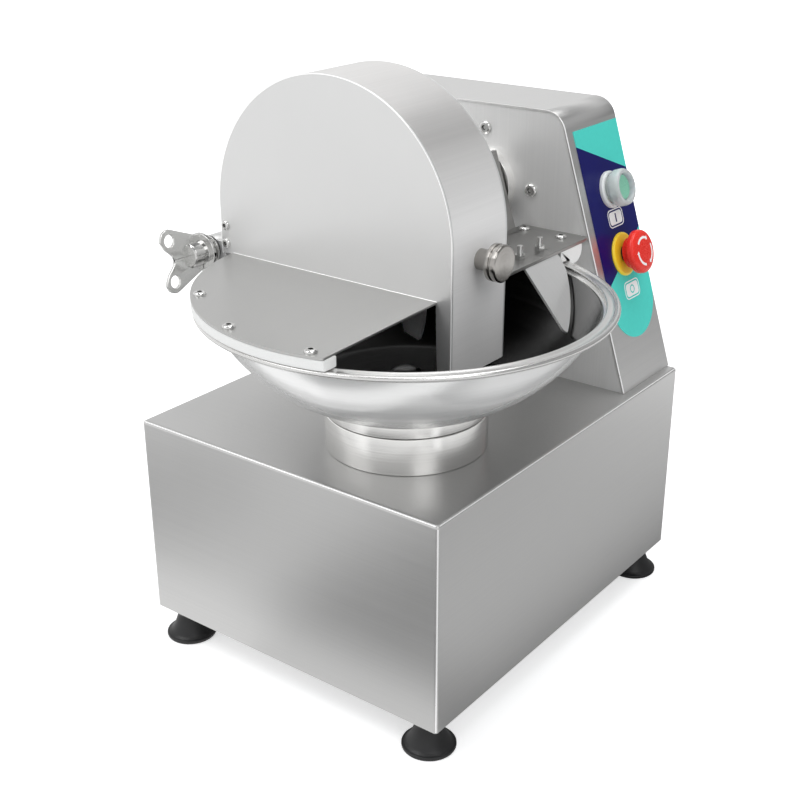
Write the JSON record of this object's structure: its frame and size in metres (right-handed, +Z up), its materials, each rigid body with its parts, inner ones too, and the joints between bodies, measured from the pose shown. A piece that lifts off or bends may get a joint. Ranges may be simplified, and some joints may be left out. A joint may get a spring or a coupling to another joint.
{
  "type": "electric food chopper",
  "caption": "Tabletop bowl chopper: a turning stainless bowl under a hinged knife hood, on a box base with a drive tower and push-button controls.",
  "frame": {"origin": "on the floor, midway between the four feet", "axes": "+X right along the front, +Y to the back, +Z up"},
  "size_m": [0.392, 0.4765, 0.523],
  "materials": {
    "satin_steel": "brushed stainless sheet",
    "polished_steel": "mirror-polished stainless",
    "dark_steel": "dull ground stainless",
    "turned_aluminium": "turned aluminium",
    "black_rubber": "moulded black rubber",
    "white_plastic": "white acetal",
    "black_plastic": "black moulded plastic",
    "red_plastic": "red moulded plastic",
    "yellow_plastic": "yellow moulded plastic",
    "green_plastic": "translucent green cap",
    "label_film": "printed polyester film",
    "painted_iron": "painted cast iron",
    "bearing_steel": "ground bearing steel",
    "bronze": "bronze gear rim"
  },
  "bodies": {
    "machine": {"base_housing": "satin_steel", "bottom_plate": "satin_steel", "foot_front_left": "black_rubber", "foot_rear_left": "black_rubber", "foot_front_right": "black_rubber", "foot_rear_right": "black_rubber", "housing_screws": "polished_steel", "tower_skin": "satin_steel", "tower_front_panel": "satin_steel", "tower_rear_cover": "satin_steel", "bowl_collar": "turned_aluminium", "bowl_drive_bearings": "bearing_steel", "gearbox_housing": "painted_iron", "gearbox_cover": "painted_iron", "bowl_belt": "black_rubber", "knife_belt": "black_rubber", "motor_casing": "painted_iron", "run_capacitor": "turned_aluminium", "contactor": "black_plastic", "cable_gland": "black_plastic", "spindle_housing": "turned_aluminium", "spindle_bearings": "bearing_steel", "hinge_rod": "polished_steel", "hinge_bracket": "satin_steel", "hinge_washers": "polished_steel", "rear_bracket": "dark_steel", "rear_strip": "white_plastic", "bracket_screws": "polished_steel", "scraper": "satin_steel", "hood_switch": "black_plastic", "start_bezel": "white_plastic", "stop_collar": "yellow_plastic", "switch_blocks": "black_plastic", "control_label": "label_film"},
    "motor": {"motor_rotor": "dark_steel", "motor_pulleys": "turned_aluminium"},
    "knife_set": {"knife_spindle": "dark_steel", "knife_1": "polished_steel", "knife_2": "polished_steel", "knife_3": "polished_steel", "knife_spacers": "white_plastic", "knife_nut": "polished_steel", "spindle_pulley": "turned_aluminium"},
    "worm": {"worm_shaft": "dark_steel", "worm_pulley": "turned_aluminium"},
    "bowl_set": {"bowl": "polished_steel", "bowl_foot_ring": "turned_aluminium", "bowl_shaft": "dark_steel", "bowl_nut": "polished_steel", "worm_wheel": "bronze"},
    "hood": {"hood_shell": "satin_steel", "skirt_plate": "satin_steel", "front_strip": "white_plastic", "hood_screws": "polished_steel", "hinge_knuckles": "satin_steel", "lifting_knob": "polished_steel"},
    "clamp_nut": {"wing_nut": "polished_steel"},
    "start": {"start_button": "green_plastic"},
    "stop_slider": {"stop_stem": "black_plastic"},
    "stop_knob": {"stop_head": "red_plastic"}
  },
  "joints": [
    {"name": "motor_spin", "type": "hinge", "parent": "machine", "child": "motor", "pos_m": [-0.085, 0, 0.105], "axis": [0, 1, 0], "continuous": true},
    {"name": "knife_spin", "type": "hinge", "parent": "machine", "child": "knife_set", "pos_m": [-0.008, 0, 0.395], "axis": [0, 1, 0], "continuous": true},
    {"name": "worm_spin", "type": "hinge", "parent": "machine", "child": "worm", "pos_m": [0.104, -0.09, 0.122], "axis": [0, 1, 0], "continuous": true},
    {"name": "bowl_spin", "type": "hinge", "parent": "machine", "child": "bowl_set", "pos_m": [0.05, -0.09, 0.265], "axis": [0, 0, 1], "continuous": true},
    {"name": "hood_open", "type": "hinge", "parent": "machine", "child": "hood", "pos_m": [-0.15, -0.074, 0.358], "axis": [0, -1, 0], "range_deg": [0, 95]},
    {"name": "wing_nut_turn", "type": "hinge", "parent": "machine", "child": "clamp_nut", "pos_m": [-0.15, -0.126, 0.358], "axis": [0, 1, 0], "range_deg": [0, 180]},
    {"name": "start_press", "type": "slide", "parent": "machine", "child": "start", "axis": [-0.9523, 0, -0.3053], "range_m": [0, 0.003], "stiffness_N_per_m": 300, "springref_m": -0.002},
    {"name": "stop_press", "type": "slide", "parent": "machine", "child": "stop_slider", "axis": [-0.9523, 0, -0.3053], "range_m": [0, 0.004], "stiffness_N_per_m": 500, "springref_m": -0.002},
    {"name": "stop_release", "type": "hinge", "parent": "stop_slider", "child": "stop_knob", "pos_m": [0.11422, 0.157, 0.33575], "axis": [-0.9523, 0, -0.3053], "range_deg": [0, 35], "stiffness_Nm_per_rad": 0.05}
  ],
  "couplings": [
    {"joint": "knife_spin", "follows": "motor_spin", "ratio": 1.2667},
    {"joint": "worm_spin", "follows": "motor_spin", "ratio": 0.71429},
    {"joint": "bowl_spin", "follows": "motor_spin", "ratio": -0.017857}
  ]
}
